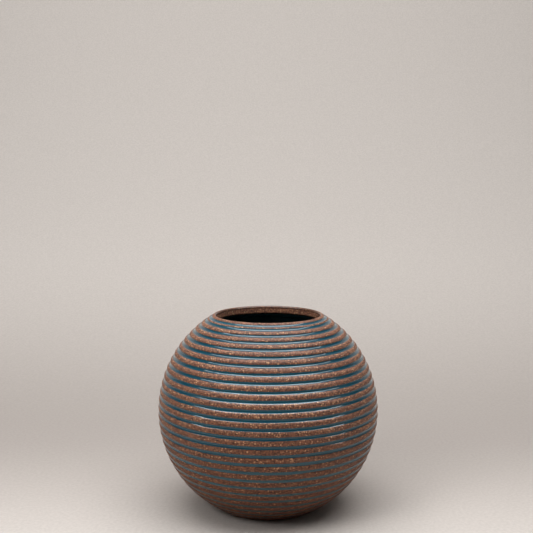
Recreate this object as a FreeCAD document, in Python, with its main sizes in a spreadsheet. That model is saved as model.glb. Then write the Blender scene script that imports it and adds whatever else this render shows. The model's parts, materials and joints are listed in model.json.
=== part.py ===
import FreeCAD, Part

import math
import os

import Sketcher

# Ball-shaped stoneware vase, thrown as one pot, with 27 grooves turned round its wall.
# Every groove holds a ring of pooled glaze, the bands between them are bare clay, and
# the inside is coated with a liner glaze so that the vase holds water.
#
# Frame: origin at the centre of the foot, on the plane that the foot stands on, +Z up.
# All sizes are millimetres, and all angles are degrees.

DRIVING_SIZES = [
    # alias, value, what it is
    ("ball_radius", 100.0, "outside of the ball, on the crowns of the bands"),
    ("wall", 6.5, "thickness of the thrown wall"),
    ("foot_radius", 46.0, "outside of the flat foot"),
    ("foot_ring_width", 8.0, "width of the ring that the vase stands on"),
    ("recess_depth", 2.5, "how far the base is turned in behind the foot ring"),
    ("floor_height", 9.0, "inside floor above the standing plane"),
    ("mouth_radius", 47.0, "clear opening"),
    ("lip_round", 1.6, "rounding of the lip's upper edge"),
    ("lip_inner_round", 1.2, "rounding of the lip's lower, inside edge"),
    ("foot_round", 2.0, "rounding of the foot's outer edge"),
    ("recess_round", 0.8, "rounding of the foot ring's inner edge"),
    ("inside_round", 15.0, "curve between the inside floor and the wall"),
    ("groove_radius", 1.8, "radius of a groove's round section"),
    ("groove_standoff", 0.2, "centre of that section, outside the ball's surface"),
    ("band_round", 0.6, "rounding of the bands' edges"),
    ("shoulder_latitude", 58.4, "latitude of the groove beside the lip"),
    ("second_latitude", 55.25, "mean latitude at which the regular grooves start"),
    ("groove_step", 4.0, "step from one groove to the next at the start"),
    ("step_growth", 0.037, "how much each step is larger than the one before"),
    ("step_wave", 0.47, "slow drift of the potter's spacing"),
    ("wave_grooves", 20.5, "grooves in one whole drift"),
    ("wave_start", 121.0, "phase of the drift at the start"),
    ("glaze_reach", 60.0, "how far up a groove's section the pooled glaze climbs"),
    ("glaze_depth", 0.5, "thickness of the glaze at the bottom of a groove"),
    ("liner_thickness", 0.5, "thickness of the liner glaze"),
    ("liner_edge_radius", 48.6, "radius at which the liner stops under the lip"),
]
GROOVE_COUNT = 27
FULL_TURN = 360.0
TOLERANCE = 1e-4

doc = FreeCAD.newDocument("ball_vase")

sheet = doc.addObject("Spreadsheet::Sheet", "sizes")
for row, (alias, value, meaning) in enumerate(DRIVING_SIZES, start=1):
    sheet.set(f"A{row}", meaning)
    sheet.set(f"B{row}", str(value))
    sheet.setAlias(f"B{row}", alias)
doc.recompute()

# Derived sizes, as expressions over the sheet.
INNER_RADIUS = "(sizes.ball_radius - sizes.wall)"
CENTRE_HEIGHT = "sqrt(sizes.ball_radius^2 - sizes.foot_radius^2)"
GROOVE_CENTRE_RADIUS = "(sizes.ball_radius + sizes.groove_standoff)"


def number(expression):
    """The value that an expression over the sheet has now."""
    result = sheet.evalExpression(expression)
    return float(getattr(result, "Value", result))


def new_body(label):
    """A body of its own for one sub-part, named after it."""
    body = doc.addObject("PartDesign::Body", label)
    body.Label = label
    body.Placement = FreeCAD.Placement()
    return body


def new_sketch(body, name):
    """A sketch on the body's own XZ plane: sketch x is the radius, sketch y the height."""
    sketch = body.newObject("Sketcher::SketchObject", name)
    plane = next(item for item in body.Origin.OriginFeatures if item.Role == "XZ_Plane")
    sketch.AttachmentSupport = [(plane, "")]
    sketch.MapMode = "FlatFace"
    return sketch


def point(x, y):
    return FreeCAD.Vector(x, y, 0)


def bind(sketch, name, expression, *constraint):
    """Adds a named dimension and binds it to an expression over the sheet."""
    index = sketch.addConstraint(Sketcher.Constraint(*constraint, number(expression)))
    sketch.renameConstraint(index, name)
    sketch.setExpression(f"Constraints.{name}", expression)


def line(sketch, start, end):
    return sketch.addGeometry(Part.LineSegment(point(*start), point(*end)))


def arc(sketch, centre, radius, start, end):
    """An arc about centre that runs anticlockwise from start to end."""
    circle = Part.Circle(point(*centre), FreeCAD.Vector(0, 0, 1), radius)
    angles = [math.atan2(p[1] - centre[1], p[0] - centre[0]) for p in (start, end)]
    return sketch.addGeometry(Part.ArcOfCircle(circle, *angles))


def join(sketch, first, first_end, second, second_end):
    sketch.addConstraint(Sketcher.Constraint("Coincident", first, first_end, second, second_end))


def revolve(body, sketch, name, kind="PartDesign::Revolution"):
    """Turns a sketch a full turn about the vase's axis, to add or to cut."""
    feature = body.newObject(kind, name)
    feature.Profile = sketch
    feature.ReferenceAxis = (sketch, ["V_Axis"])
    feature.Angle = FULL_TURN
    doc.recompute()
    return feature


def circular_edges(shape, wanted):
    """Names of the circular edges for which wanted(radius, height) is true."""
    names = []
    for index, edge in enumerate(shape.Edges, start=1):
        if isinstance(edge.Curve, Part.Circle) and abs(edge.Curve.Axis.z) > 1 - TOLERANCE:
            if wanted(edge.Curve.Radius, edge.Curve.Center.z):
                names.append(f"Edge{index}")
    return names


def round_edges(body, name, alias, wanted):
    """Fillets the chosen circular edges with the radius that the sheet holds."""
    base = body.Tip
    names = circular_edges(base.Shape, wanted)
    if not names:
        raise RuntimeError(f"{name}: no edge to round")
    fillet = body.newObject("PartDesign::Fillet", name)
    fillet.Base = (base, names)
    fillet.setExpression("Radius", alias)
    doc.recompute()
    if abs(fillet.Shape.Volume - base.Shape.Volume) < TOLERANCE:
        raise RuntimeError(f"{name}: nothing was rounded")
    return fillet


# The pot's main curves, used to start the sketches near their solved shape.
ball = number("sizes.ball_radius")
inner = number(INNER_RADIUS)
centre_height = number(CENTRE_HEIGHT)
floor = number("sizes.floor_height")
START, END, CENTRE = 1, 2, 3
ORIGIN, HORIZONTAL_AXIS, VERTICAL_AXIS = (-1, 1), -1, -2


def height_above_centre(radius_from_axis, sphere):
    return math.sqrt(sphere**2 - radius_from_axis**2)


def radius_at(height, sphere):
    return math.sqrt(sphere**2 - (height - centre_height) ** 2)


def groove_latitude(index):
    """Expression for the latitude of a groove: 0 is the one beside the lip."""
    if index == 0:
        return "sizes.shoulder_latitude"
    k = index - 1
    steady = f"sizes.second_latitude - {k} * sizes.groove_step"
    growth = f"{k * (k - 1) // 2} * sizes.step_growth"
    phase = f"({k} * {FULL_TURN} / sizes.wave_grooves + sizes.wave_start) * 1 deg"
    return f"({steady} - {growth} + sizes.step_wave * sin({phase}))"


def build_stoneware_body():
    """The thrown clay: shell, foot ring, mouth, grooves and rounded edges."""
    body = new_body("stoneware_body")
    sketch = new_sketch(body, "wall_profile")

    foot = number("sizes.foot_radius")
    recess = foot - number("sizes.foot_ring_width")
    depth = number("sizes.recess_depth")
    mouth = number("sizes.mouth_radius")
    middle = (0, centre_height)
    lip_top = (mouth, centre_height + height_above_centre(mouth, ball))
    lip_bottom = (mouth, centre_height + height_above_centre(mouth, inner))
    inside_corner = (radius_at(floor, inner), floor)

    underside = line(sketch, (0, depth), (recess, depth))
    step = line(sketch, (recess, depth), (recess, 0))
    ring = line(sketch, (recess, 0), (foot, 0))
    outside = arc(sketch, middle, ball, (foot, 0), lip_top)
    lip = line(sketch, lip_top, lip_bottom)
    inside = arc(sketch, middle, inner, inside_corner, lip_bottom)
    inside_floor = line(sketch, inside_corner, (0, floor))
    axis = line(sketch, (0, floor), (0, depth))

    join(sketch, underside, END, step, START)
    join(sketch, step, END, ring, START)
    join(sketch, ring, END, outside, START)
    join(sketch, outside, END, lip, START)
    join(sketch, lip, END, inside, END)
    join(sketch, inside, START, inside_floor, START)
    join(sketch, inside_floor, END, axis, START)
    join(sketch, axis, END, underside, START)
    join(sketch, outside, CENTRE, inside, CENTRE)
    for level in (underside, ring, inside_floor):
        sketch.addConstraint(Sketcher.Constraint("Horizontal", level))
    for upright in (step, lip):
        sketch.addConstraint(Sketcher.Constraint("Vertical", upright))
    for element, end in ((axis, START), (axis, END), (outside, CENTRE)):
        sketch.addConstraint(Sketcher.Constraint("PointOnObject", element, end, VERTICAL_AXIS))
    sketch.addConstraint(Sketcher.Constraint("PointOnObject", ring, END, HORIZONTAL_AXIS))
    bind(sketch, "ball", "sizes.ball_radius", "Radius", outside)
    bind(sketch, "inner", INNER_RADIUS, "Radius", inside)
    bind(sketch, "foot", "sizes.foot_radius", "DistanceX", *ORIGIN, ring, END)
    bind(sketch, "ring_width", "sizes.foot_ring_width", "DistanceX", ring, START, ring, END)
    bind(sketch, "recess", "sizes.recess_depth", "DistanceY", *ORIGIN, underside, START)
    bind(sketch, "floor", "sizes.floor_height", "DistanceY", *ORIGIN, axis, START)
    bind(sketch, "mouth", "sizes.mouth_radius", "DistanceX", *ORIGIN, lip, START)
    shell = revolve(body, sketch, "thrown_shell")

    cuts = new_sketch(body, "groove_sections")
    section = number("sizes.groove_radius")
    for index in range(GROOVE_COUNT):
        latitude = groove_latitude(index)
        across = f"{GROOVE_CENTRE_RADIUS} * cos({latitude} * 1 deg)"
        above = f"{CENTRE_HEIGHT} + {GROOVE_CENTRE_RADIUS} * sin({latitude} * 1 deg)"
        centre = point(number(across), number(above))
        circle = cuts.addGeometry(Part.Circle(centre, FreeCAD.Vector(0, 0, 1), section))
        bind(cuts, f"across_{index + 1}", across, "DistanceX", *ORIGIN, circle, CENTRE)
        bind(cuts, f"above_{index + 1}", above, "DistanceY", *ORIGIN, circle, CENTRE)
        bind(cuts, f"section_{index + 1}", "sizes.groove_radius", "Radius", circle)
    grooves = revolve(body, cuts, "turned_grooves", "PartDesign::Groove")
    if grooves.Shape.Volume >= shell.Shape.Volume - TOLERANCE:
        raise RuntimeError("the grooves cut nothing")

    def on_ball(radius, height):
        from_centre = math.hypot(radius, height - centre_height)
        return abs(from_centre - ball) < TOLERANCE

    def is_lip(radius, height):
        return abs(radius - mouth) < TOLERANCE and height > centre_height

    def is_foot(radius, height):
        return abs(radius - foot) < TOLERANCE and abs(height) < TOLERANCE

    round_edges(
        body, "rounded_bands", "sizes.band_round",
        lambda r, z: on_ball(r, z) and not is_lip(r, z) and not is_foot(r, z),
    )
    round_edges(
        body, "rounded_lip", "sizes.lip_round",
        lambda r, z: is_lip(r, z) and on_ball(r, z),
    )
    round_edges(
        body, "rounded_lip_inside", "sizes.lip_inner_round",
        lambda r, z: is_lip(r, z) and abs(z - lip_bottom[1]) < TOLERANCE,
    )
    round_edges(body, "rounded_foot", "sizes.foot_round", is_foot)
    round_edges(
        body, "rounded_recess", "sizes.recess_round",
        lambda r, z: abs(r - recess) < TOLERANCE and abs(z) < TOLERANCE,
    )
    round_edges(
        body, "rounded_inside", "sizes.inside_round",
        lambda r, z: abs(z - floor) < TOLERANCE and abs(r - inside_corner[0]) < TOLERANCE,
    )
    return body


def build_glaze_ring(index):
    """Glaze pooled in one groove: it fills the round section and ends in a hollow face."""
    body = new_body(f"glaze_ring_{index + 1:02d}")
    sketch = new_sketch(body, f"pool_{index + 1:02d}")
    latitude = groove_latitude(index)
    # The section's own middle line points out of the ball; "out" runs along it from the
    # ball's centre and "side" across it, up and down the wall.
    out = f"({GROOVE_CENTRE_RADIUS} - sizes.groove_radius * cos(sizes.glaze_reach * 1 deg))"
    side = "(sizes.groove_radius * sin(sizes.glaze_reach * 1 deg))"
    cosine = f"cos({latitude} * 1 deg)"
    sine = f"sin({latitude} * 1 deg)"
    upper_x = f"{out} * {cosine} - {side} * {sine}"
    upper_y = f"{out} * {sine} + {side} * {cosine}"
    lower_x = f"{out} * {cosine} + {side} * {sine}"
    lower_y = f"{out} * {sine} - {side} * {cosine}"
    # The hollow face is an arc through both edges and the top of the glaze between them.
    dip = "(sizes.groove_radius * (1 - cos(sizes.glaze_reach * 1 deg)) - sizes.glaze_depth)"
    face_radius = f"({side}^2 + {dip}^2) / (2 * {dip})"

    upper = (number(upper_x), centre_height + number(upper_y))
    lower = (number(lower_x), centre_height + number(lower_y))
    groove_middle = (
        number(f"{GROOVE_CENTRE_RADIUS} * {cosine}"),
        centre_height + number(f"{GROOVE_CENTRE_RADIUS} * {sine}"),
    )
    face_centre_radius = number(out) - number(dip) + number(face_radius)
    face_middle = (
        face_centre_radius * number(cosine),
        centre_height + face_centre_radius * number(sine),
    )

    bed = arc(sketch, groove_middle, number("sizes.groove_radius"), upper, lower)
    face = arc(sketch, face_middle, number(face_radius), upper, lower)
    join(sketch, bed, START, face, START)
    join(sketch, bed, END, face, END)
    bind(sketch, "upper_across", upper_x, "DistanceX", *ORIGIN, bed, START)
    bind(sketch, "upper_above", f"{CENTRE_HEIGHT} + {upper_y}", "DistanceY", *ORIGIN, bed, START)
    bind(sketch, "lower_across", lower_x, "DistanceX", *ORIGIN, bed, END)
    bind(sketch, "lower_above", f"{CENTRE_HEIGHT} + {lower_y}", "DistanceY", *ORIGIN, bed, END)
    bind(sketch, "bed", "sizes.groove_radius", "Radius", bed)
    bind(sketch, "face", face_radius, "Radius", face)
    revolve(body, sketch, f"ring_{index + 1:02d}")
    return body


def build_liner_glaze():
    """The coat of glaze on the inside, from the floor up to just under the lip."""
    body = new_body("liner_glaze")
    sketch = new_sketch(body, "liner_profile")
    thickness = number("sizes.liner_thickness")
    edge = number("sizes.liner_edge_radius")
    thin = inner - thickness
    middle = (0, centre_height)
    floor_top = floor + thickness
    outer_corner = (radius_at(floor, inner), floor)
    inner_corner = (radius_at(floor_top, thin), floor_top)
    outer_edge = (edge, centre_height + height_above_centre(edge, inner))
    inner_edge = (edge, centre_height + height_above_centre(edge, thin))

    bottom = line(sketch, (0, floor), outer_corner)
    against_clay = arc(sketch, middle, inner, outer_corner, outer_edge)
    top = line(sketch, outer_edge, inner_edge)
    face = arc(sketch, middle, thin, inner_corner, inner_edge)
    floor_face = line(sketch, inner_corner, (0, floor_top))
    axis = line(sketch, (0, floor_top), (0, floor))

    join(sketch, bottom, END, against_clay, START)
    join(sketch, against_clay, END, top, START)
    join(sketch, top, END, face, END)
    join(sketch, face, START, floor_face, START)
    join(sketch, floor_face, END, axis, START)
    join(sketch, axis, END, bottom, START)
    join(sketch, against_clay, CENTRE, face, CENTRE)
    for level in (bottom, floor_face):
        sketch.addConstraint(Sketcher.Constraint("Horizontal", level))
    sketch.addConstraint(Sketcher.Constraint("Vertical", top))
    for element, end in ((axis, START), (axis, END), (face, CENTRE)):
        sketch.addConstraint(Sketcher.Constraint("PointOnObject", element, end, VERTICAL_AXIS))
    bind(sketch, "clay_side", INNER_RADIUS, "Radius", against_clay)
    bind(sketch, "water_side", f"{INNER_RADIUS} - sizes.liner_thickness", "Radius", face)
    bind(sketch, "centre", CENTRE_HEIGHT, "DistanceY", *ORIGIN, face, CENTRE)
    bind(sketch, "floor", "sizes.floor_height", "DistanceY", *ORIGIN, axis, END)
    bind(sketch, "thickness", "sizes.liner_thickness", "DistanceY", axis, END, axis, START)
    bind(sketch, "edge", "sizes.liner_edge_radius", "DistanceX", *ORIGIN, top, START)
    revolve(body, sketch, "liner_coat")
    round_edges(
        body, "rounded_against_clay", "sizes.inside_round",
        lambda r, z: abs(z - floor) < TOLERANCE,
    )
    round_edges(
        body, "rounded_water_side", "sizes.inside_round - sizes.liner_thickness",
        lambda r, z: abs(z - floor_top) < TOLERANCE and abs(r - inner_corner[0]) < TOLERANCE,
    )
    return body


def check(bodies):
    """Stops the build if any object has failed or any sub-part is not one good solid."""
    doc.recompute()
    for item in doc.Objects:
        if "Invalid" in item.State or "Error" in item.State:
            raise RuntimeError(f"{item.Name} has failed: {item.State}")
    for body in bodies:
        shape = body.Shape
        if shape.isNull() or not shape.isValid() or len(shape.Solids) != 1:
            raise RuntimeError(f"{body.Label} is not one good solid")


def export(bodies):
    os.makedirs("parts", exist_ok=True)
    for body in bodies:
        body.Shape.exportStep(f"parts/{body.Label}.step")


sub_parts = [build_stoneware_body()]
sub_parts += [build_glaze_ring(index) for index in range(GROOVE_COUNT)]
sub_parts.append(build_liner_glaze())
check(sub_parts)
export(sub_parts)

clay = sub_parts[0].Shape
glaze_volume = sum(body.Shape.Volume for body in sub_parts[1:])
print("sub-parts", len(sub_parts))
print("clay volume", round(clay.Volume), "glaze volume", round(glaze_volume))
for face in clay.Faces:
    if isinstance(face.Surface, Part.Cylinder) and face.Surface.Center.z >= 0:
        low, high = face.BoundBox.ZMin, face.BoundBox.ZMax
        print("straight wall, radius", face.Surface.Radius, "height", low, "to", high)
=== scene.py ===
import json
import math
import random

import bpy
import numpy as np
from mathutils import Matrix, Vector


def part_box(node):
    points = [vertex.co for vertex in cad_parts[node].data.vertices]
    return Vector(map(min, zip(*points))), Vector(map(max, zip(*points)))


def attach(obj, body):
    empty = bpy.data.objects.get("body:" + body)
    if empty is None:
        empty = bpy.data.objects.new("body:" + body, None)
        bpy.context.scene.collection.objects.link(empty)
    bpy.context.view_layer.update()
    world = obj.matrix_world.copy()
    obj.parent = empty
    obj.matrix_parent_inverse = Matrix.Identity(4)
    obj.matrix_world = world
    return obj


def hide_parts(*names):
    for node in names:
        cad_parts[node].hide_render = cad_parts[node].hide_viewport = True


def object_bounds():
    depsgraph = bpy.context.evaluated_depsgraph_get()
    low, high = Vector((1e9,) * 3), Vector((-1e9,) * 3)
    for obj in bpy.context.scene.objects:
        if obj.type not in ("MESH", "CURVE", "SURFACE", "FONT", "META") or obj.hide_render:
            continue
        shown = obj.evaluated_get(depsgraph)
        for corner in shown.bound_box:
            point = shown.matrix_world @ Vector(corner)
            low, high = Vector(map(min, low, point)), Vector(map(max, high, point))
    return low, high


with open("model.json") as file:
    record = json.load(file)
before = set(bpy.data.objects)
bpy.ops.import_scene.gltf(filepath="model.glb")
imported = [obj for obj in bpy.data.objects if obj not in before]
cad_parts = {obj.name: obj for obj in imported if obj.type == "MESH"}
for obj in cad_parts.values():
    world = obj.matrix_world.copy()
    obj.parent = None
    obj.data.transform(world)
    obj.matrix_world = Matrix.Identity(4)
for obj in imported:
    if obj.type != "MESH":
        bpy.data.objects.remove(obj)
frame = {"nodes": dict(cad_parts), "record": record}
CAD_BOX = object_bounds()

# Ball-shaped stoneware vase: bare clay bands between grooves of pooled teal glaze.
# Everything is in metres; MM turns a size in millimetres into metres.
MM = 0.001
BODY = "root"

# ---------------------------------------------------------------- sizes from the frame
RECORD = frame["record"]
MOUTH_RADIUS = next(m for m in RECORD["mounts"] if m["name"] == "mouth")["dims"]["r_mm"] * MM
BALL_RADIUS = (CAD_BOX[1].x - CAD_BOX[0].x) / 2
FOOT_SHARE = 0.46  # the foot's radius in ball radii
FOOT_RADIUS = FOOT_SHARE * BALL_RADIUS
CENTRE_HEIGHT = math.sqrt(BALL_RADIUS**2 - FOOT_RADIUS**2)
WALL = 6.5 * MM
FLOOR_HEIGHT = 9.0 * MM
RECESS_DEPTH = 2.5 * MM
FOOT_RING_WIDTH = 8.0 * MM
RING_DEPTH = 0.9 * MM  # the middle of a glaze ring lies this far under the ball's surface
RINGS = sorted(name for name in frame["nodes"] if name.startswith("glaze_ring"))

# ---------------------------------------------------------------- the ribbed surface
RIB_HEIGHT = 2.2 * MM  # from a band's crown to the clay at the bottom of a groove
RIB_POWER = 2.1  # 2 is an ellipse, more is a squarer rib
LOW_RIB_SHARE = 0.4  # the grooves near the foot keep this share of the height
LOW_RIB_LATITUDE = 38  # degrees below the equator at which they reach it
GROOVE_FLOOR = 0.8 * MM  # half the width of a groove's bottom, between two ribs
GLAZE_HALF_WIDTH = 1.5 * MM
GLAZE_DIP = 0.5 * MM  # how far the glaze's face sinks between its edges
GLAZE_TUCK = 0.3 * MM  # how far the glaze's edge runs on under the clay's surface
CORE_DEPTH = 2.5 * MM  # the wall's outer face behind the bands
BAND_BACK_DEPTH = 2.8 * MM  # the bands' backs, inside the wall
GLAZE_BED = 0.1 * MM  # how far the glaze's back goes into the wall
RIB_STEPS = 15
GLAZE_STEPS = 17
AROUND = 288  # steps round every ring
LOW_SHOULDER = 4.0 * MM  # the clay's shoulder under the lowest groove
HIGH_SHOULDER = 3.0 * MM  # and over the highest one
LIP_ROUND = 1.6 * MM
INSIDE_ROUND = 15.0 * MM  # the curve between the inside floor and the wall
LINER_COAT = 0.5 * MM
LINER_TUCK = 0.3 * MM  # how far the coat's back runs on into the clay
LINER_EDGE = 48.6 * MM
LINER_STEPS = 150
THROWING_RING = 0.15 * MM
BASE_STEPS = 60
ROUND_STEPS = 10
RING_TURN = 0.62  # radians of a throwing ring's wave for each step of the coat
FLOOR_RING_PITCH = 1.9 * MM  # a radian of that wave on the inside floor
RING_FADE = 12  # steps over which the rings fade in and out on the wall
FLOOR_RING_FADE = 8  # and on the floor
COAT_EDGE_STEPS = 3  # steps in which the coat thins out at its upper edge
TURNING_MARK = 0.12 * MM
TURNING_MARK_PITCH = 0.55 * MM
RECESS_ROUND = 0.8 * MM
RECESS_ROUND_MIDDLE = 0.25 * MM
FOOT_EDGE = 0.6 * MM

# ---------------------------------------------------------------- a thrower's unevenness
BAND_SEED = 100
GLAZE_SEED = 300
BAND_LEAN = 0.12 * MM
BAND_SWELL = 0.08 * MM
GLAZE_EDGE_WANDER = 0.1 * MM
GLAZE_LEVEL_WANDER = 0.03 * MM

# ---------------------------------------------------------------- camera and stage sizes
CAMERA_DISTANCE = 8.023  # in ball radii, from the vase's axis
CAMERA_HEIGHT = 2.186  # in ball radii, above the ball's centre
CAMERA_ASIDE = -0.0144
CAMERA_PITCH = 6.27  # degrees down
CAMERA_LENS = 60.38  # millimetres on a 36 mm sensor
SWEEP_START = 0.30
SWEEP_CURVE = 1.2
SWEEP_FRONT = 9.0
SWEEP_HEIGHT = 3.5
SWEEP_HALF_WIDTH = 9.0
SWEEP_STEPS = 32


def groove_latitude(node):
    """Latitude of a groove on the ball, in radians, from its ring's box."""
    low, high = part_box(node)
    bed = BALL_RADIUS - RING_DEPTH
    return math.asin(((low[2] + high[2]) / 2 - CENTRE_HEIGHT) / bed)


LATITUDES = [groove_latitude(node) for node in RINGS]


def rib_height(latitude):
    """Rib height at a latitude: full from the lip to the equator, then falling to the foot."""
    share = min(max(-latitude / math.radians(LOW_RIB_LATITUDE), 0.0), 1.0)
    return RIB_HEIGHT * (1 - (1 - LOW_RIB_SHARE) * share)


def drift(rng, angles, amplitude, slowest=2, fastest=9):
    """A smooth random wander round the ring, the same after a full turn."""
    total = np.zeros_like(angles)
    for waves in range(slowest, fastest + 1):
        total += rng.gauss(0, 1) * np.cos(waves * angles + rng.uniform(0, math.tau)) / waves**0.6
    return amplitude * total / max(np.abs(total).max(), 1e-9)


ANGLES = np.linspace(0, math.tau, AROUND, endpoint=False)


# ---------------------------------------------------------------- mesh makers
def make_object(name, vertices, faces, material, replaced):
    mesh = bpy.data.meshes.new(name)
    mesh.from_pydata(vertices, [], faces)
    mesh.polygons.foreach_set("use_smooth", [True] * len(mesh.polygons))
    mesh.set_sharp_from_angle(angle=math.radians(50))
    mesh.materials.append(material)
    piece = bpy.data.objects.new(name, mesh)
    bpy.context.scene.collection.objects.link(piece)
    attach(piece, BODY)
    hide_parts(*replaced)
    return piece


def grid_faces(columns, rows, close_rows):
    faces = []
    for i in range(columns):
        j = (i + 1) % columns
        for row in range(rows if close_rows else rows - 1):
            up = (row + 1) % rows
            faces.append((i * rows + row, j * rows + row, j * rows + up, i * rows + up))
    return faces


def polar_ring(name, latitude, radius, material, replaced):
    """A closed ring. latitude and radius are (around, section) arrays about the ball's centre."""
    across = radius * np.cos(latitude)
    above = CENTRE_HEIGHT + radius * np.sin(latitude)
    turn = ANGLES[:, None]
    points = np.stack([across * np.cos(turn), across * np.sin(turn), above], axis=2)
    rows = latitude.shape[1]
    faces = grid_faces(AROUND, rows, close_rows=True)
    return make_object(name, points.reshape(-1, 3).tolist(), faces, material, replaced)


def turned_solid(name, outline, material, replaced):
    """A solid of revolution from an outline of (radius, height) that starts and ends on the axis."""
    middle = np.array(outline[1:-1])
    rows = len(middle)
    turn = ANGLES[:, None]
    points = np.stack(
        [middle[:, 0] * np.cos(turn), middle[:, 0] * np.sin(turn), middle[:, 1] + 0 * turn],
        axis=2,
    ).reshape(-1, 3).tolist()
    first, last = len(points), len(points) + 1
    points += [(0, 0, outline[0][1]), (0, 0, outline[-1][1])]
    faces = grid_faces(AROUND, rows, close_rows=False)
    for i in range(AROUND):
        j = (i + 1) % AROUND
        faces.append((first, j * rows, i * rows))
        faces.append((last, i * rows + rows - 1, j * rows + rows - 1))
    return make_object(name, points, faces, material, replaced)


def on_ball(latitude, depth=0.0):
    """A point of an outline at a latitude, so far under the ball's surface."""
    radius = BALL_RADIUS - depth
    return (radius * math.cos(latitude), CENTRE_HEIGHT + radius * math.sin(latitude))


def rounded(points, corner, radius, steps=6):
    """The outline with one corner, given by its place in the list, turned into an arc."""
    before, here, after = (Vector(points[corner + step]) for step in (-1, 0, 1))
    to_before, to_after = (before - here).normalized(), (after - here).normalized()
    half = to_before.angle(to_after) / 2
    reach = radius / math.tan(half)
    centre = here + (to_before + to_after).normalized() * (radius / math.sin(half))
    start, end = here + to_before * reach, here + to_after * reach
    first = math.atan2(*(start - centre).yx)
    sweep = math.remainder(math.atan2(*(end - centre).yx) - first, math.tau)
    arc = []
    for step in range(steps + 1):
        angle = first + sweep * step / steps
        arc.append((centre.x + radius * math.cos(angle), centre.y + radius * math.sin(angle)))
    return points[:corner] + arc + points[corner + 1 :]


# ---------------------------------------------------------------- materials
def new_material(name):
    material = bpy.data.materials.new(name)
    material.use_nodes = True
    tree = material.node_tree
    shader = tree.nodes["Principled BSDF"]
    return material, tree, shader


def node(tree, kind, inputs=None, **settings):
    """Adds a node, sets its properties, and sets or links its inputs by name."""
    made = tree.nodes.new(kind)
    for key, value in settings.items():
        setattr(made, key, value)
    for key, value in (inputs or {}).items():
        socket = made.inputs[key]
        if isinstance(value, bpy.types.NodeSocket):
            tree.links.new(value, socket)
        else:
            socket.default_value = value
    return made


def math_node(tree, operation, *values):
    made = tree.nodes.new("ShaderNodeMath")
    made.operation = operation
    for socket, value in zip(made.inputs, values):
        if isinstance(value, bpy.types.NodeSocket):
            tree.links.new(value, socket)
        else:
            socket.default_value = value
    return made.outputs[0]


def spread(tree, value, low, high, to_low=0.0, to_high=1.0):
    """Maps low..high to to_low..to_high with soft ends."""
    made = node(
        tree, "ShaderNodeMapRange",
        {"Value": value, "From Min": low, "From Max": high, "To Min": to_low, "To Max": to_high},
        interpolation_type="SMOOTHSTEP",
    )
    return made.outputs[0]


def mix(tree, factor, first, second, blend="MIX"):
    made = tree.nodes.new("ShaderNodeMix")
    made.data_type = "RGBA"
    made.blend_type = blend
    for socket, value in ((made.inputs[0], factor), (made.inputs[6], first), (made.inputs[7], second)):
        if isinstance(value, bpy.types.NodeSocket):
            tree.links.new(value, socket)
        else:
            socket.default_value = value
    return made.outputs[2]


def rgb(red, green, blue):
    """A linear colour from the 0 to 255 values that a screen shows."""
    linear = []
    for channel in (red, green, blue):
        share = channel / 255
        linear.append(share / 12.92 if share <= 0.04045 else ((share + 0.055) / 1.055) ** 2.4)
    return (*linear, 1.0)


def object_space(tree):
    return tree.nodes.new("ShaderNodeTexCoord").outputs["Object"]


def depth_under_crown(tree, place):
    """How far a point lies under the ball's surface, in millimetres."""
    offset = node(
        tree, "ShaderNodeVectorMath",
        {0: place, 1: (0, 0, CENTRE_HEIGHT)}, operation="SUBTRACT",
    ).outputs[0]
    length = node(tree, "ShaderNodeVectorMath", {0: offset}, operation="LENGTH").outputs["Value"]
    return math_node(tree, "MULTIPLY", math_node(tree, "SUBTRACT", BALL_RADIUS, length), 1 / MM)


def noise(tree, place, size_mm, detail=2.0, roughness=0.5, distortion=0.0):
    made = node(
        tree, "ShaderNodeTexNoise",
        {"Vector": place, "Scale": 1 / (size_mm * MM), "Detail": detail,
         "Roughness": roughness, "Distortion": distortion},
    )
    return made.outputs["Fac"]


def specks(tree, place, size_mm, share, radius):
    """Round specks: 1 inside a speck, 0 outside. share is how many cells hold one."""
    cells = node(
        tree, "ShaderNodeTexVoronoi",
        {"Vector": place, "Scale": 1 / (size_mm * MM), "Randomness": 1.0}, feature="F1",
    )
    chance = node(tree, "ShaderNodeSeparateColor", {"Color": cells.outputs["Color"]})
    present = math_node(tree, "LESS_THAN", chance.outputs[0], share)
    limit = math_node(tree, "MULTIPLY", chance.outputs[1], radius)
    limit = math_node(tree, "ADD", limit, radius * 0.4)
    near = math_node(tree, "SUBTRACT", limit, cells.outputs["Distance"])
    return math_node(tree, "MULTIPLY", present, spread(tree, near, -0.02, 0.05))


FOOT_PAINTED_SHADE_TINT = (0.68, 0.53, 0.42, 1.0)  # painted shade: multiplies the clay darker and redder towards the foot


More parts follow.
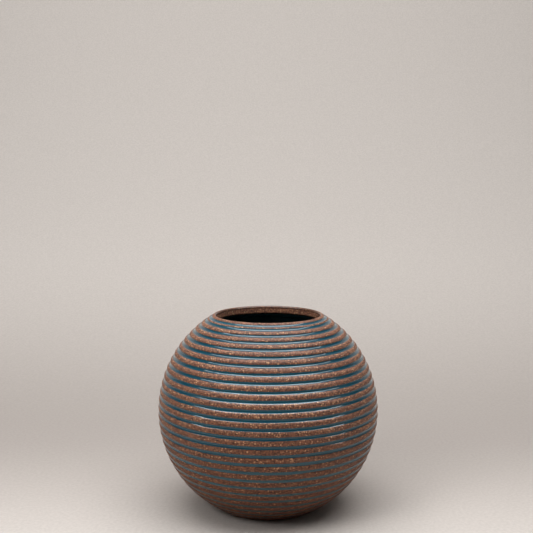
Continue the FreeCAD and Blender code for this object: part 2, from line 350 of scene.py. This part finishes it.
def clay_material():
    """Satin brown stoneware with tan and dark grog specks, stained where it meets glaze, with painted
    shade darkening it towards the foot.
    """
    material, tree, shader = new_material("bare_clay")
    place = object_space(tree)
    grain = noise(tree, place, 1.4, detail=2, roughness=0.8)
    patches = noise(tree, place, 22, detail=3)
    streaks = noise(tree, place, 4.5, detail=2)

    colour = mix(tree, spread(tree, grain, 0.38, 0.6), rgb(58, 33, 23), rgb(142, 91, 65))
    colour = mix(tree, spread(tree, patches, 0.35, 0.7, 0, 0.35), colour, rgb(98, 52, 34))
    colour = mix(tree, spread(tree, streaks, 0.45, 0.75, 0, 0.3), colour, rgb(148, 98, 72))
    tan = specks(tree, place, 1.6, share=0.5, radius=0.3)
    small_tan = specks(tree, place, 1.2, share=0.35, radius=0.36)
    dark = specks(tree, place, 1.25, share=0.5, radius=0.35)
    colour = mix(tree, math_node(tree, "MULTIPLY", tan, 0.75), colour, rgb(232, 184, 138))
    colour = mix(tree, math_node(tree, "MULTIPLY", small_tan, 0.55), colour, rgb(208, 158, 116))
    colour = mix(tree, math_node(tree, "MULTIPLY", dark, 0.8), colour, rgb(30, 19, 15))

    depth = depth_under_crown(tree, place)
    ragged = math_node(tree, "MULTIPLY_ADD", streaks, 0.3, depth)
    height = node(tree, "ShaderNodeSeparateXYZ", {"Vector": place}).outputs["Z"]
    beside_groove = math_node(
        tree, "MULTIPLY",
        spread(tree, depth, 3.4, 2.8), spread(tree, height, 0.5 * MM, 3.0 * MM),
    )
    stain = math_node(tree, "MULTIPLY", spread(tree, ragged, 0.6, 0.9, 0, 0.55), beside_groove)
    colour = mix(tree, stain, colour, rgb(58, 46, 44))
    # painted shade: low grows towards the foot, where the clay is multiplied by the painted shade tint
    low = spread(tree, height, 1.3 * CENTRE_HEIGHT, 0.0)
    colour = mix(tree, low, colour, FOOT_PAINTED_SHADE_TINT, blend="MULTIPLY")
    tree.links.new(colour, shader.inputs["Base Color"])

    rough = spread(tree, grain, 0.3, 0.7, 0.72, 0.58)
    rough = math_node(tree, "MULTIPLY_ADD", low, 0.15, rough)
    glazed = math_node(tree, "MULTIPLY", spread(tree, ragged, 0.4, 0.7), beside_groove)
    rough = math_node(tree, "MULTIPLY_ADD", glazed, -0.52, rough)
    tree.links.new(rough, shader.inputs["Roughness"])
    shader.inputs["Specular IOR Level"].default_value = 0.45
    relief = math_node(tree, "MULTIPLY_ADD", tan, 0.5, grain)
    relief = math_node(tree, "MULTIPLY_ADD", dark, -0.5, relief)
    bump = node(tree, "ShaderNodeBump", {"Height": relief, "Strength": 0.35, "Distance": 0.12 * MM})
    tree.links.new(bump.outputs["Normal"], shader.inputs["Normal"])
    return material


def groove_glaze_material():
    """Glossy teal glaze: dark where it has pooled, paler where it thins at its edges, greener and
    darkened by painted shade towards the foot.
    """
    material, tree, shader = new_material("groove_glaze")
    place = object_space(tree)
    depth = depth_under_crown(tree, place)
    flow = noise(tree, place, 7, detail=3)
    fine = noise(tree, place, 1.3, detail=2)
    level = math_node(tree, "MULTIPLY_ADD", fine, 0.25, depth)
    pooled = spread(tree, level, 0.55, 1.2)

    thin = mix(tree, flow, rgb(30, 92, 116), rgb(46, 98, 108))
    thick = mix(tree, flow, rgb(10, 62, 80), rgb(20, 76, 91))
    colour = mix(tree, pooled, thin, thick)
    height = node(tree, "ShaderNodeSeparateXYZ", {"Vector": place}).outputs["Z"]
    # towards the foot the glaze turns greener, its own tone, and darker, which is painted shade
    low = spread(tree, height, CENTRE_HEIGHT, 0.1 * CENTRE_HEIGHT, 0, 0.85)
    colour = mix(tree, low, colour, rgb(22, 52, 48))
    grit = specks(tree, place, 1.6, share=0.3, radius=0.3)
    thin_grit = math_node(tree, "MULTIPLY", grit, spread(tree, level, 0.95, 0.6, 0, 0.35))
    colour = mix(tree, thin_grit, colour, rgb(120, 96, 80))
    tree.links.new(colour, shader.inputs["Base Color"])

    rough = spread(tree, flow, 0.3, 0.7, 0.05, 0.11)
    tree.links.new(math_node(tree, "MULTIPLY_ADD", low, 0.35, rough), shader.inputs["Roughness"])
    shader.inputs["IOR"].default_value = 1.5
    ripple = math_node(tree, "MULTIPLY_ADD", fine, 0.3, flow)
    bump = node(tree, "ShaderNodeBump", {"Height": ripple, "Strength": 0.25, "Distance": 0.3 * MM})
    tree.links.new(bump.outputs["Normal"], shader.inputs["Normal"])
    return material


def liner_material():
    """The inside coat: darker, brown-teal, glossy, with pinholes and soft runs."""
    material, tree, shader = new_material("liner_glaze")
    place = object_space(tree)
    clouds = noise(tree, place, 18, detail=4)
    fine = noise(tree, place, 2.2, detail=3)
    colour = mix(tree, spread(tree, clouds, 0.35, 0.7), rgb(26, 62, 70), rgb(52, 78, 78))
    colour = mix(tree, spread(tree, fine, 0.55, 0.8, 0, 0.5), colour, rgb(92, 74, 60))
    holes = specks(tree, place, 3.2, share=0.25, radius=0.18)
    colour = mix(tree, holes, colour, rgb(30, 24, 22))
    tree.links.new(colour, shader.inputs["Base Color"])
    tree.links.new(spread(tree, clouds, 0.3, 0.7, 0.14, 0.26), shader.inputs["Roughness"])
    bump = node(tree, "ShaderNodeBump", {"Height": fine, "Strength": 0.2, "Distance": 0.3 * MM})
    tree.links.new(bump.outputs["Normal"], shader.inputs["Normal"])
    return material


# ---------------------------------------------------------------- pieces
def half_pitch(index):
    """Half the distance, along the wall, from one groove to the next one down."""
    if index < 0:
        return HIGH_SHOULDER
    if index >= len(LATITUDES) - 1:
        return LOW_SHOULDER
    return (LATITUDES[index] - LATITUDES[index + 1]) / 2 * BALL_RADIUS


def clay_depth(index, distance, height):
    """Depth of a rib's clay under the crown, at a distance from its groove's middle."""
    reach = half_pitch(index)
    share = min(max((reach - distance) / (reach - GROOVE_FLOOR), 0), 1)
    return height * (1 - (1 - share**RIB_POWER) ** (1 / RIB_POWER))


def build_clay_band(index, material):
    """One rib of clay between two grooves: a rounded face and a hidden back in the wall."""
    rng = random.Random(BAND_SEED + index)
    upper, lower = LATITUDES[index], LATITUDES[index + 1]
    middle = (upper + lower) / 2
    half = (half_pitch(index) - GROOVE_FLOOR) / BALL_RADIUS
    height = rib_height(middle)
    turn = np.linspace(math.pi / 2, -math.pi / 2, RIB_STEPS)
    share = np.sign(np.sin(turn)) * np.abs(np.sin(turn)) ** (2 / RIB_POWER)
    depth = height * (1 - np.abs(np.cos(turn)) ** (2 / RIB_POWER))

    lean = drift(rng, ANGLES, BAND_LEAN)[:, None]
    swell = drift(rng, ANGLES, BAND_SWELL, slowest=3, fastest=20)[:, None]
    latitude = middle + half * share[None, :] + lean / BALL_RADIUS
    radius = BALL_RADIUS - depth[None, :] + swell * (1 - np.abs(share[None, :]))
    back = np.full((AROUND, 1), BALL_RADIUS - BAND_BACK_DEPTH)
    latitude = np.hstack([latitude, latitude[:, -1:], latitude[:, :1]])
    radius = np.hstack([radius, back, back])
    name = f"clay_band_{index + 1:02d}"
    return polar_ring(name, latitude, radius, material, ["stoneware_body"])


def build_glaze_ring(index, material):
    """Glaze in one groove: a hollow face whose edges run on under the clay."""
    rng = random.Random(GLAZE_SEED + index)
    height = rib_height(LATITUDES[index])
    wander = drift(rng, ANGLES, GLAZE_EDGE_WANDER, slowest=4, fastest=60)[:, None]
    half_width = GLAZE_HALF_WIDTH + wander
    level = drift(rng, ANGLES, GLAZE_LEVEL_WANDER, slowest=3, fastest=20)[:, None]
    above = clay_depth(index - 1, GLAZE_HALF_WIDTH, height)
    below = clay_depth(index, GLAZE_HALF_WIDTH, height)

    share = np.sin(np.linspace(math.pi / 2, -math.pi / 2, GLAZE_STEPS))[None, :]
    edge = above + (below - above) * (1 - share) / 2
    dip = GLAZE_DIP * height / RIB_HEIGHT * (1 - share**2)
    offset = np.hstack([half_width + GLAZE_TUCK, half_width * share, -half_width - GLAZE_TUCK])
    depth = np.hstack([level + above + GLAZE_TUCK, level + edge + dip, level + below + GLAZE_TUCK])
    offset = np.hstack([offset, -half_width / 2, half_width / 2])
    bed = np.full((AROUND, 1), CORE_DEPTH + GLAZE_BED)
    latitude = LATITUDES[index] + offset / BALL_RADIUS
    radius = BALL_RADIUS - np.hstack([depth, bed, bed])
    name = f"pooled_{RINGS[index]}"
    return polar_ring(name, latitude, radius, material, [RINGS[index]])


def shoulder(latitude, reach, height, upwards):
    """Outline points of half a rib that runs from a groove's middle to the crown."""
    points = []
    for step in range(RIB_STEPS + 1):
        turn = math.pi / 2 * step / RIB_STEPS
        rise = 1 - math.cos(turn) ** (2 / RIB_POWER)
        distance = GROOVE_FLOOR + (reach - GROOVE_FLOOR) * rise
        depth = height * (1 - math.sin(turn) ** (2 / RIB_POWER))
        side = 1 if upwards else -1
        points.append(on_ball(latitude + side * distance / BALL_RADIUS, depth))
    return points


def arc_on_sphere(radius, start, end, steps):
    """Outline points along a sphere about the ball's centre, between two latitudes."""
    return [
        on_ball(start + (end - start) * step / steps, BALL_RADIUS - radius)
        for step in range(steps + 1)
    ]


def inside_curve(inset, start_latitude, steps):
    """Outline points inside the vase, down the wall and round onto the flat floor."""
    radius = BALL_RADIUS - WALL - inset
    corner = INSIDE_ROUND - inset
    rise = FLOOR_HEIGHT + inset + corner - CENTRE_HEIGHT
    across = math.sqrt((radius - corner) ** 2 - rise**2)
    end_latitude = math.atan2(rise, across)
    points = arc_on_sphere(radius, start_latitude, end_latitude, steps)
    for step in range(1, ROUND_STEPS + 1):
        turn = end_latitude - (end_latitude + math.pi / 2) * step / ROUND_STEPS
        above = CENTRE_HEIGHT + rise + corner * math.sin(turn)
        points.append((across + corner * math.cos(turn), above))
    return points


def build_clay_wall(material):
    """The thrown wall behind the ribs, with the lip, the foot and the inside."""
    inner = BALL_RADIUS - WALL
    recess_radius = FOOT_RADIUS - FOOT_RING_WIDTH
    foot_latitude = -math.acos(FOOT_RADIUS / BALL_RADIUS)
    lip_latitude = math.acos(MOUTH_RADIUS / BALL_RADIUS)
    inner_lip_latitude = math.acos(MOUTH_RADIUS / inner)

    turned_base = [(0, RECESS_DEPTH)]
    for step in range(1, BASE_STEPS):
        radius = recess_radius * step / BASE_STEPS
        mark = TURNING_MARK * math.sin(radius / TURNING_MARK_PITCH)
        turned_base.append((radius, RECESS_DEPTH + mark))
    outline = turned_base + [(recess_radius, RECESS_DEPTH)]
    outline += [(recess_radius, RECESS_ROUND)]
    outline += [(recess_radius + RECESS_ROUND_MIDDLE, RECESS_ROUND_MIDDLE)]
    outline += [(recess_radius + RECESS_ROUND, 0), (FOOT_RADIUS - FOOT_EDGE, 0)]
    outline += arc_on_sphere(BALL_RADIUS, foot_latitude + 0.005, foot_latitude + 0.05, 4)
    low, high = LATITUDES[-1], LATITUDES[0]
    outline += shoulder(low, LOW_SHOULDER, rib_height(low), upwards=False)[::-1]
    outline += arc_on_sphere(BALL_RADIUS - CORE_DEPTH, low, high, 24)
    outline += shoulder(high, HIGH_SHOULDER, rib_height(high), upwards=True)
    lip_corner = len(outline)
    inner_lip_height = CENTRE_HEIGHT + inner * math.sin(inner_lip_latitude)
    outline += [on_ball(lip_latitude), (MOUTH_RADIUS, inner_lip_height)]
    outline += inside_curve(0, inner_lip_latitude - 0.02, 24)
    outline += [(0, FLOOR_HEIGHT)]
    outline = rounded(outline, lip_corner, LIP_ROUND)
    return turned_solid("clay_wall", outline, material, ["stoneware_body"])


def build_liner(material):
    """The glaze coat inside, with soft throwing rings on its face."""
    edge_latitude = math.acos(LINER_EDGE / (BALL_RADIUS - WALL))
    back = inside_curve(-LINER_TUCK, edge_latitude, 40)[::-1]
    smooth = inside_curve(LINER_COAT, edge_latitude, LINER_STEPS)
    face = []
    for step, (across, above) in enumerate(smooth):
        inwards = Vector((-across, CENTRE_HEIGHT - above)).normalized()
        ends = min(step, max(LINER_STEPS - step, 0)) / RING_FADE
        ring = THROWING_RING * math.sin(step * RING_TURN) * min(ends, 1)
        coat = (LINER_COAT + LINER_TUCK / 2) * max(1 - step / COAT_EDGE_STEPS, 0)
        shift = inwards * (ring - coat)
        face.append((across + shift.x, above + shift.y))
    floor_radius, floor_height = face[-1]
    outline = [(0, FLOOR_HEIGHT - LINER_TUCK)] + back + face
    for step in range(1, BASE_STEPS):
        radius = floor_radius * (1 - step / BASE_STEPS)
        fade = min(step / FLOOR_RING_FADE, 1)
        ring = THROWING_RING * math.sin(radius / FLOOR_RING_PITCH) * fade
        outline.append((radius, floor_height + ring))
    outline += [(0, floor_height)]
    return turned_solid("liner_coat", outline, material, ["liner_glaze"])


# ---------------------------------------------------------------- stage, light and camera
def build_stage():
    """A pale paper sweep: floor, curve and back wall in one sheet, with a band of painted shadow
    behind the vase.
    """
    points = [(-SWEEP_FRONT, 0.0)]
    for step in range(SWEEP_STEPS + 1):
        turn = math.pi / 2 * step / SWEEP_STEPS
        across = SWEEP_START + SWEEP_CURVE * math.sin(turn)
        points.append((across, SWEEP_CURVE * (1 - math.cos(turn))))
    points.append((SWEEP_START + SWEEP_CURVE, SWEEP_HEIGHT))
    vertices = [(side * SWEEP_HALF_WIDTH, y, z) for y, z in points for side in (-1, 1)]
    faces = [(2 * i, 2 * i + 1, 2 * i + 3, 2 * i + 2) for i in range(len(points) - 1)]
    mesh = bpy.data.meshes.new("paper_sweep")
    mesh.from_pydata(vertices, [], faces)
    mesh.polygons.foreach_set("use_smooth", [True] * len(mesh.polygons))
    material, tree, shader = new_material("paper")
    place = object_space(tree)
    fibre = noise(tree, place, 3.0, detail=4)
    colour = mix(tree, spread(tree, fibre, 0.3, 0.7), rgb(201, 194, 188), rgb(210, 203, 197))
    back = node(tree, "ShaderNodeSeparateXYZ", {"Vector": place}).outputs["Y"]
    # painted shadow: a darker band across the paper just behind the vase
    shade = math_node(tree, "MULTIPLY", spread(tree, back, -0.2, 0.2), spread(tree, back, 0.9, 0.2))
    colour = mix(tree, math_node(tree, "MULTIPLY", shade, 0.55), colour, rgb(122, 112, 107))
    tree.links.new(colour, shader.inputs["Base Color"])
    shader.inputs["Roughness"].default_value = 0.9
    mesh.materials.append(material)
    sweep = bpy.data.objects.new("paper_sweep", mesh)
    bpy.context.scene.collection.objects.link(sweep)


def softbox(name, place, target, width, height, power, shine=True, fill=True):
    """An area lamp. shine lets surfaces mirror it, fill lets it light them."""
    lamp = bpy.data.lights.new(name, "AREA")
    lamp.shape = "RECTANGLE"
    lamp.size, lamp.size_y = width, height
    lamp.energy = power
    holder = bpy.data.objects.new(name, lamp)
    holder.location = place
    holder.visible_glossy = shine
    holder.visible_diffuse = fill
    aim = Vector(target) - Vector(place)
    holder.rotation_euler = aim.to_track_quat("-Z", "Y").to_euler()
    bpy.context.scene.collection.objects.link(holder)


def build_world():
    """Light from all round: brighter from behind than from the front, and an even pale grey
    where the camera looks past the paper."""
    world = bpy.data.worlds.new("studio")
    world.use_nodes = True
    tree = world.node_tree
    background = tree.nodes["Background"]
    way = node(
        tree, "ShaderNodeSeparateXYZ",
        {"Vector": tree.nodes.new("ShaderNodeTexCoord").outputs["Generated"]},
    )
    behind = spread(tree, way.outputs["Y"], -0.5, 0.6, 0.05, 0.3)
    seen = tree.nodes.new("ShaderNodeLightPath").outputs["Is Camera Ray"]
    level = mix(tree, seen, behind, (0.55, 0.53, 0.51, 1))
    tree.links.new(level, background.inputs["Color"])
    bpy.context.scene.world = world


def build_camera():
    """A short telephoto view, a little above the vase and looking slightly down."""
    lens = bpy.data.cameras.new("camera")
    lens.sensor_width = 36.0
    lens.lens = CAMERA_LENS
    camera = bpy.data.objects.new("camera", lens)
    camera.location = (
        CAMERA_ASIDE * BALL_RADIUS,
        -CAMERA_DISTANCE * BALL_RADIUS,
        CENTRE_HEIGHT + CAMERA_HEIGHT * BALL_RADIUS,
    )
    camera.rotation_euler = (math.radians(90 - CAMERA_PITCH), 0, 0)
    bpy.context.scene.collection.objects.link(camera)
    bpy.context.scene.camera = camera


bpy.context.scene.view_settings.view_transform = "Standard"
build_camera()
build_stage()
build_world()
softbox("overhead_box", (0.05, -0.3, 1.0), (0.05, -0.25, 0), 1.2, 0.5, 8.5)
softbox("overhead_strip", (0.05, -0.15, 1.0), (0.05, -0.1, 0), 3.6, 0.12, 24, fill=False)
softbox("backdrop_box", (0, 0.5, 2.2), (0, 1.4, 0.6), 2.5, 0.5, 29)
softbox("front_fill", (-1.2, -1.1, 1.4), (0, 0, 0.1), 0.8, 0.8, 13, shine=False)

clay = clay_material()
glaze = groove_glaze_material()
build_clay_wall(clay)
for band in range(len(RINGS) - 1):
    build_clay_band(band, clay)
for ring in range(len(RINGS)):
    build_glaze_ring(ring, glaze)
build_liner(liner_material())
